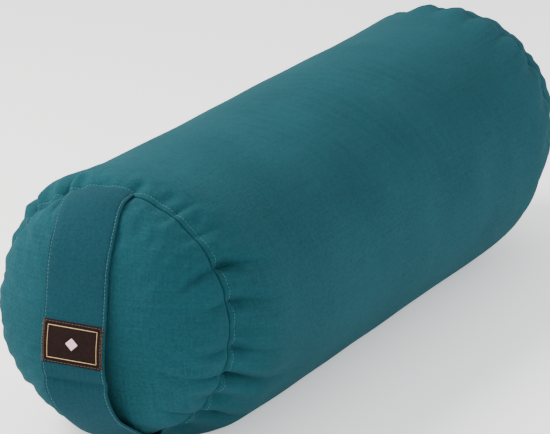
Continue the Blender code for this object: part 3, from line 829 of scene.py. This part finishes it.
def strap_part(name, first, last, material):
    """A length of the strap, closed all round, with its two faces and rounded edges."""
    face = strap_face(strap_across)
    rows = []
    for i in range(first, last + 1):
        outer = bed[i] + bed_off[i] * face[:, None]
        inner = bed[i] - bed_off[i] * face[:, None]
        rows.append(np.concatenate([outer, inner[::-1]]))
    size = 2 * len(strap_across)
    faces = []
    for a in range(len(rows) - 1):
        for k in range(size):
            b = (k + 1) % size
            faces.append((a * size + k, (a + 1) * size + k, (a + 1) * size + b, a * size + b))
    faces.append(tuple(range(size)))
    faces.append(tuple(range(len(rows) * size - 1, (len(rows) - 1) * size - 1, -1)))
    piece = new_piece(name, np.concatenate(rows), faces, material)
    across_flat = np.concatenate([strap_across, 2 * half_strap - strap_across[::-1]])
    flat = [(a, row_place[i]) for i in range(first, last + 1) for a in across_flat]
    lay_out(piece, flat)
    return piece


# The strap is the same canvas as the cover, but here it gets a copy of the cover's teal about a quarter
# darker: painted shade on the strap.
strap_canvas_with_painted_shade = woven("teal_strap_canvas", (0.0062, 0.0400, 0.0535), 0.62 * mm, sheen=0.05)
label_low, label_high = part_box("handle_label")
label_middle_height = (label_low[2] + label_high[2]) / 2 - end_axis
label_row = int(np.argmin(np.abs(height_here - label_middle_height)))
strap_top = strap_part("handle_strap_top_half", 0, label_row, strap_canvas_with_painted_shade)
strap_bottom = strap_part("handle_strap_bottom_half", label_row, strap_rows - 1, strap_canvas_with_painted_shade)
top_seam = (-half_length, 0, end_axis + seam_radius)
bottom_seam = (-half_length, 0, end_axis - seam_radius)
top_grip = (-half_length, 0, grip_high[2] + 0.01)
bottom_grip = (-half_length, 0, grip_low[2])


def edge_stitches(name, rows_used):
    """The topstitching along both edges of a length of the strap."""
    paths = []
    for across in (-(half_strap - edge_to_stitch), half_strap - edge_to_stitch):
        spots = [on_strap(row_place[i], across, 0.05 * mm) for i in rows_used]
        paths.append((np.array([p for p, _ in spots]), np.array([o for _, o in spots]), False))
    return stitch_rows(name, paths, teal_thread)


thread_top = edge_stitches("handle_edge_stitches_top_half", range(3, label_row + 1))
thread_bottom = edge_stitches("handle_edge_stitches_bottom_half", range(label_row, strap_rows - 3))
for piece, start, end, nodes, finish in (
    (strap_top, top_seam, top_grip, ("handle_strap_upper", "handle_strap_grip"), "teal_strap_canvas"),
    (strap_bottom, bottom_seam, bottom_grip, ("handle_strap_lower",), "teal_strap_canvas"),
    (thread_top, top_seam, top_grip,
     ("handle_edge_thread_upper_left", "handle_edge_thread_upper_right",
      "handle_edge_thread_grip_left", "handle_edge_thread_grip_right"), "teal_thread"),
    (thread_bottom, bottom_seam, bottom_grip,
     ("handle_edge_thread_lower_left", "handle_edge_thread_lower_right"), "teal_thread"),
):
    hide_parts(*nodes)
    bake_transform(piece)

# ---- Label -------------------------------------------------------------------------------------
# A woven patch of dark brown tape across the strap, with raw side edges and a plain raised border
# in gold yarn round a pink satin diamond. Sewn down through the strap's face.

label_length, label_width = 31 * mm, 48.4 * mm
label_centre = row_place[label_row]


def label_patch(material):
    """The woven patch, its raw edges pressed down to the strap."""
    rows, cuts = 30, 44
    points, flat, faces = [], [], []
    for i in range(rows + 1):
        along = label_centre - label_length / 2 + label_length * i / rows
        for j in range(cuts + 1):
            across = -label_width / 2 + label_width * j / cuts
            rim = min(i, rows - i, 1.2 * j, 1.2 * (cuts - j))
            lift = (0.42 if rim < 1 else 0.62) * mm
            points.append(on_strap(along, across, lift)[0])
            flat.append((across, along))
    for i in range(rows):
        for j in range(cuts):
            a = i * (cuts + 1) + j
            faces.append((a, a + cuts + 1, a + cuts + 2, a + 1))
    top_count = len(points)
    rim = (
        list(range(cuts + 1)) + [i * (cuts + 1) + cuts for i in range(1, rows + 1)]
        + [rows * (cuts + 1) + j for j in range(cuts - 1, -1, -1)]
        + [i * (cuts + 1) for i in range(rows - 1, 0, -1)]
    )
    for n in rim:
        across, along = flat[n]
        points.append(on_strap(along, across, -0.25 * mm)[0])
        flat.append((across, along))
    for n in range(len(rim)):
        m = (n + 1) % len(rim)
        faces.append((rim[n], rim[m], top_count + m, top_count + n))
    piece = new_piece("handle_label_patch", points, faces, material)
    lay_out(piece, flat)
    return piece


def yarn(points, out, width, sides=6, flatness=0.7):
    """Points and faces of a thread along a line."""
    line = np.array(points)
    along = np.gradient(line, axis=0)
    along /= np.linalg.norm(along, axis=1)[:, None]
    beside = np.cross(out, along)
    made = []
    for a in np.arange(sides) * 2 * math.pi / sides:
        made.append(line + width / 2 * (beside * math.cos(a) + np.array(out) * flatness * math.sin(a)))
    return np.stack(made, axis=1).reshape(-1, 3), thread_faces(len(line), sides)


def bundle(name, strands, material):
    """One piece from many threads."""
    points, faces = [], []
    for made, quads in strands:
        faces += [tuple(v + len(points) for v in f) for f in quads]
        points += list(made)
    return new_piece(name, points, faces, material)


def label_line(spots, lift):
    """Points over the label, and the direction off it at each, from places along and across it."""
    there = [on_strap(label_centre + along, across, lift) for along, across in spots]
    return np.array([p for p, _ in there]), np.array([o for _, o in there])


def label_sides(w, h, steps):
    """The places along the four sides of a rectangle on the label, from half its width and length."""
    corners = ((-h, -w), (-h, w), (h, w), (h, -w), (-h, -w))
    return [
        [(a[0] + (b[0] - a[0]) * i / steps, a[1] + (b[1] - a[1]) * i / steps) for i in range(steps + 1)]
        for a, b in zip(corners, corners[1:])
    ]


brown = woven("brown_label_weave", (0.0115, 0.0052, 0.0044), 0.30 * mm, 0.85, 0.05, 0.9, 0.25)
gold = spun("gold_yarn", (0.55, 0.36, 0.14), 0.35)
pink = spun("pink_satin", (0.86, 0.50, 0.58), 0.35)
patch = label_patch(brown)
border = [
    yarn(*label_line(spots, 0.75 * mm), 0.42 * mm)
    for spots in label_sides(label_width / 2 - 4.2 * mm, label_length / 2 - 4.0 * mm, 12)
]
border_piece = bundle("handle_label_border", border, gold)
diamond = []
for n in range(-9, 10):
    reach = 4.4 * mm * (1 - abs(n) / 10)
    spots = [(reach * k / 3, n * 0.5 * mm) for k in (-3, -2, -1, 0, 1, 2, 3)]
    diamond.append(yarn(*label_line(spots, 0.80 * mm), 0.56 * mm))
diamond_piece = bundle("handle_label_diamond", diamond, pink)
fray = []
for side in (-1, 1):
    for n in range(44):
        along = -label_length / 2 + label_length * (n + 0.5) / 44 + chance.uniform(-0.2, 0.2) * mm
        out_to = side * (label_width / 2 + chance.uniform(0.2, 0.8) * mm)
        start_at = side * (label_width / 2 - 0.8 * mm)
        sway = chance.uniform(-0.5, 0.5) * mm
        spots = [(along + sway * k * k / 4, start_at + (out_to - start_at) * k / 2) for k in (0, 1, 2)]
        fray.append(yarn(*label_line(spots, 0.6 * mm), 0.22 * mm, sides=4))
fray_piece = bundle("handle_label_frayed_edge", fray, spun("olive_yarn", (0.085, 0.060, 0.030)))
sewn = [
    (*label_line(spots, 0.66 * mm), False)
    for spots in label_sides(label_width / 2 - 1.3 * mm, label_length / 2 - 1.3 * mm, 20)
]
brown_thread = spun("brown_thread", (0.045, 0.026, 0.018))
sewn_piece = stitch_rows("handle_label_stitches", sewn, brown_thread, width=0.4 * mm, rise=0.15 * mm)
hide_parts("handle_label")
for piece in (patch, border_piece, diamond_piece, fray_piece, sewn_piece):
    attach(piece, "handle_grip")

# ---- Cover zip ---------------------------------------------------------------------------------
# A nylon coil zip low on the back: two woven tapes with their sewn-on coils, a bartack across each
# end, and a nickel-plated slider with a hinged pull. Each edge of the cloth is topstitched to a tape.


def zip_place(zip_turn, seat, x, across, out):
    """Points on a zip: along it, across it, and out from where its tapes lie."""
    x, across, out = np.broadcast_arrays(*(np.asarray(v, float) for v in (x, across, out)))
    y = across * math.cos(zip_turn) + (seat + out) * math.sin(zip_turn)
    z = barrel_axis - across * math.sin(zip_turn) + (seat + out) * math.cos(zip_turn)
    return np.stack([x, y, z], axis=-1)


def wound(zip_turn, seat, side, start, length, pitch=1.35 * mm, width=0.62 * mm):
    """One half of the coil: filament wound into flattened loops that reach past the middle."""
    steps = int(length / pitch * 10)
    n = np.arange(steps)
    swing = n / 10 * 2 * math.pi + (math.pi if side > 0 else 0)
    across = side * (1.25 * mm - 1.30 * mm * np.cos(swing))
    x = start + pitch * n / 10
    line = zip_place(zip_turn, seat, x, across, -0.25 * mm + 0.75 * mm * np.sin(swing))
    return yarn(line, np.broadcast_to(out_of_zip(zip_turn), line.shape), width, sides=5, flatness=1.0)


def tape_weave(name, colour):
    """The close twill of a zip's tape."""
    return woven(name, colour, 0.5 * mm, 0.8, 0.2, 0.4, 0.12, "Object")


def coil_nylon(name, colour):
    """Dyed nylon filament with a slight gloss."""
    dye = Dye(name, 0.32, Specular_IOR_Level=0.5)
    place = dye.node("ShaderNodeTexCoord", None, None, out="Object")
    spots = dye.noise(place, 300.0, 2.0)
    dye.feed("Base Color", dye.mix(spots, tuple(0.8 * c for c in colour) + (1,), (*colour, 1)))
    dye.feed("Roughness", spots * 0.15 + 0.25)
    return dye.material


def plated_metal(name):
    """Nickel plate with fine polishing lines and duller, handled patches."""
    dye = Dye(name, 0.25, Metallic=1.0)
    place = dye.node("ShaderNodeTexCoord", None, None, out="Object")
    drawn_out = dye.node("ShaderNodeMapping", None, {"Vector": place, "Scale": (60.0, 900.0, 900.0)})
    lines = dye.noise(drawn_out, 3.0)
    worn = dye.noise(place, 160.0, 4.0)
    dye.feed("Base Color", dye.mix(worn, (0.46, 0.45, 0.43, 1), (0.66, 0.65, 0.63, 1)))
    dye.feed("Roughness", worn * 0.22 + lines * 0.12 + 0.10)
    dye.feed("Normal", dye.bump(lines, 0.15, 0.0001))
    return dye.material


def finish_node(node, material, rounding=0.0):
    """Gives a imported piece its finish, and rounds its edges a little."""
    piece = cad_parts[node]
    piece.data.materials.clear()
    piece.data.materials.append(material)
    if rounding:
        bevel = piece.modifiers.new("edges", "BEVEL")
        bevel.width, bevel.segments, bevel.limit_method = rounding, 3, "ANGLE"


def dress_zip(kind, zip_turn, seat, tape_cloth, coil_finish, tack_thread):
    """Gives a zip's tapes their weave, and makes its wound coils and its bartacks."""
    names = {"tape": f"{kind}_zip_tape", "coil": f"{kind}_zip_coil", "tack": f"{kind}_zip_bartack"}
    for half, side in (("upper", -1), ("lower", 1)):
        finish_node(f"{names['tape']}_{half}", tape_cloth)
        low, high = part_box(f"{names['coil']}_{half}")
        coil = bundle(
            f"{names['coil']}_{half}_loops",
            [wound(zip_turn, seat, side, low[0] + 1 * mm, high[0] - low[0] - 2 * mm)], coil_finish,
        )
        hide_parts(f"{names['coil']}_{half}")
        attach(coil, "bolster")
    out = out_of_zip(zip_turn)
    for end in ("front", "rear"):
        low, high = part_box(f"{names['tack']}_{end}")
        rows = []
        for n in range(5):
            x = low[0] + (high[0] - low[0]) * (n + 0.5) / 5
            line = zip_place(zip_turn, seat, x, np.linspace(-4.8, 4.8, 25) * mm, 1.05 * mm)
            rows.append((line, np.broadcast_to(out, line.shape), False))
        tack = stitch_rows(
            f"{names['tack']}_{end}_threads", rows, tack_thread, 9.4 * mm, 0.1 * mm, 0.42 * mm, 0.35 * mm
        )
        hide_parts(f"{names['tack']}_{end}")
        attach(tack, "bolster")


cover_seat = barrel_radius * math.cos(math.pi / 40)
teal_tape = tape_weave("teal_zip_tape", (0.020, 0.095, 0.115))
teal_coil = coil_nylon("teal_zip_coil", (0.030, 0.120, 0.140))
zip_metal = plated_metal("zip_metal")
dress_zip("cover", cover_zip_turn, cover_seat, teal_tape, teal_coil, teal_thread)
finish_node("cover_zip_slider", zip_metal, 0.25 * mm)
finish_node("cover_zip_pull_tab", zip_metal, 0.25 * mm)


def beside_zip(name, rings, zip_turn, thread):
    """Topstitching just outside each folded edge of the cloth, and across both ends."""
    first, last = slot_columns(zip_turn)
    rows = []
    out = out_of_zip(zip_turn)
    for k in (first - 1, last + 1):
        inside = [i for i in range(len(rings)) if abs(rings[i, k, 0]) < cover_zip_reach + 4 * mm]
        line = np.array([rings[i, k] for i in inside]) + out * 0.1 * mm
        rows.append((line, np.broadcast_to(out, line.shape), False))
    for i in (inside[0], inside[-1]):
        line = np.array([rings[i, k] for k in range(first - 1, last + 2)]) + out * 0.1 * mm
        rows.append((line, np.broadcast_to(out, line.shape), False))
    piece = stitch_rows(name, rows, thread, width=0.5 * mm)
    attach(piece, "bolster")


beside_zip("cover_zip_topstitch", tube_rows, cover_zip_turn, teal_thread)

# ---- Inner bag ---------------------------------------------------------------------------------
# Undyed cotton calico, sewn as the cover is but plain, with its own short zip a little above the
# cover's. It holds the filling, and comes out of the cover for washing.

bag_zip_turn = math.radians(67.5)
bag_zip_reach = 182.5 * mm
bag_inset = 3.4 * mm
bag_near_seam = np.array([0, 2, 5, 9]) * mm
bag_middle = np.linspace(14 * mm, tube_cut - 14 * mm, 95)
bag_stations = np.concatenate([bag_near_seam, bag_middle, tube_cut - bag_near_seam[::-1]])
bag_panel_stations = np.concatenate([bag_near_seam[:3], np.linspace(9 * mm, 103 * mm, 20)])
calico = woven("natural_cotton", (0.62, 0.55, 0.44), 0.55 * mm, 0.88, 0.2, 0.8, 0.14)
natural_thread = spun("natural_thread", (0.70, 0.64, 0.52))
bag_rows = tube_cloth(bag_inset, bag_stations, bag_zip_turn, bag_zip_reach)
bag_hole = slot_hole(bag_stations, bag_zip_turn, bag_zip_reach)
bag_tube = sewn_tube("inner_bag_barrel", bag_rows, bag_stations, calico, bag_hole, bag_zip_turn)
bag_pieces = [(bag_tube, "inner_bag_barrel_panel")]
for side, end in ((-1, "front"), (1, "rear")):
    rows = panel_cloth(side, bag_inset, bag_panel_stations)
    bag_pieces.append((
        sewn_panel(f"inner_bag_end_{end}", side, rows, bag_panel_stations, calico),
        f"inner_bag_end_panel_{end}",
    ))
for piece, node in bag_pieces:
    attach(piece, "bolster")
    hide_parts(node)
bag_seat = (barrel_radius - 0.8 * mm) * math.cos(math.pi / 40) - 2.2 * mm
natural_tape = tape_weave("natural_zip_tape", (0.66, 0.60, 0.50))
natural_coil = coil_nylon("natural_zip_coil", (0.72, 0.68, 0.60))
dress_zip("bag", bag_zip_turn, bag_seat, natural_tape, natural_coil, natural_thread)
finish_node("bag_zip_slider", zip_metal, 0.25 * mm)

# ---- Filling -----------------------------------------------------------------------------------
# Loose buckwheat husks, packed until the bag is tight. They act as one soft body and move only
# when the bolster is pressed.

husks = Dye("husk_fill", 0.75)
husk_place = husks.node("ShaderNodeTexCoord", None, None, out="Object")
husk_spread = ("ShaderNodeTexVoronoi", {"feature": "F1"}, {"Vector": husk_place, "Scale": 230.0})
husk, husk_tone = husks.node(*husk_spread), husks.node(*husk_spread, out=1)
husk_grey = husks.node("ShaderNodeRGBToBW", None, {0: husk_tone})
husks.feed("Base Color", husks.mix(husk_grey, (0.035, 0.018, 0.009, 1), (0.17, 0.095, 0.045, 1)))
husks.feed("Roughness", husk_grey * 0.3 + 0.5)
husks.feed("Normal", husks.bump(1 - husk * 1.6, 0.9, 0.0015))
fill_inset = 5.4 * mm
fill_stations = np.linspace(3 * mm, tube_cut - 3 * mm, 80)
fill_panel_stations = np.linspace(3 * mm, 102 * mm, 20)
fill_rows = np.concatenate([
    panel_cloth(-1, fill_inset, fill_panel_stations)[::-1],
    tube_cloth(fill_inset, fill_stations, bag_zip_turn, 190 * mm),
    panel_cloth(1, fill_inset, fill_panel_stations),
])
fill_points = np.concatenate([fill_rows.reshape(-1, 3), [fill_rows[0].mean(0)], [fill_rows[-1].mean(0)]])
fill_faces = [face[::-1] for face in ring_faces(len(fill_rows))]
last_ring, tip = (len(fill_rows) - 1) * columns, len(fill_points) - 2
fill_faces += [(k, tip, (k + 1) % columns) for k in range(columns)]
fill_faces += [(last_ring + k, tip + 1, last_ring + (k + 1) % columns) for k in range(columns)]
filling = new_piece("husk_filling_body", fill_points, fill_faces, husks.material)
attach(filling, "bolster")
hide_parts("husk_filling")

# ---- Camera, floor and light -------------------------------------------------------------------
# A long lens from in front of the strap's end and a little above; a pale floor and soft light.

azimuth, height_angle = math.radians(-62.9), math.radians(17.55)
back = Vector((
    math.sin(azimuth) * math.cos(height_angle), -math.cos(azimuth) * math.cos(height_angle),
    math.sin(height_angle),
))
right = Vector((0, 0, 1)).cross(back).normalized()
up = back.cross(right)
camera = bpy.data.objects.new("camera", bpy.data.cameras.new("camera"))
bpy.context.scene.collection.objects.link(camera)
turned = Matrix((right, up, back)).transposed().to_4x4()
turned.translation = Vector((0, 0, end_axis)) + back * 2.629 + right * -0.0196 + up * -0.0093
camera.matrix_world = turned
camera.data.lens, camera.data.sensor_width = 216, 36
bpy.context.scene.camera = camera

paper = Dye("pale_floor", 0.6)
speck = paper.noise(paper.node("ShaderNodeTexCoord", None, None, out="Object"), 40.0, 3.0)
paper.feed("Base Color", paper.mix(speck, (0.90, 0.90, 0.90, 1), (0.93, 0.93, 0.93, 1)))
paper.shader.inputs["Emission Color"].default_value = (1, 1, 1, 1)
paper.shader.inputs["Emission Strength"].default_value = 0.5
floor_mesh = bpy.data.meshes.new("floor")
floor_mesh.from_pydata([(-6, -6, 0), (6, -6, 0), (6, 6, 0), (-6, 6, 0)], [], [(0, 1, 2, 3)])
floor_mesh.materials.append(paper.material)
floor = bpy.data.objects.new("floor", floor_mesh)
bpy.context.scene.collection.objects.link(floor)


def soft_light(name, place, size, power, colour=(1, 1, 1)):
    """A round soft light that faces the bolster."""
    lamp = bpy.data.lights.new(name, "AREA")
    lamp.shape, lamp.size, lamp.energy, lamp.color = "DISK", size, power, colour
    holder = bpy.data.objects.new(name, lamp)
    bpy.context.scene.collection.objects.link(holder)
    holder.location = place
    aim = Vector((0, 0, end_axis)) - Vector(place)
    holder.rotation_euler = aim.to_track_quat("-Z", "Y").to_euler()


soft_light("key", (-0.5, 0.9, 1.3), 0.7, 46, (1.0, 0.99, 0.95))
soft_light("fill", (-1.6, -1.4, 0.8), 1.6, 0.6)
soft_light("low_side", (0.9, -1.7, 0.35), 1.0, 8, (0.34, 0.86, 1.0))
sky = bpy.data.worlds.new("studio")
bpy.context.scene.world = sky
sky.use_nodes = True
sky.node_tree.nodes["Background"].inputs["Color"].default_value = (1, 1, 1, 1)
sky.node_tree.nodes["Background"].inputs["Strength"].default_value = 1.32
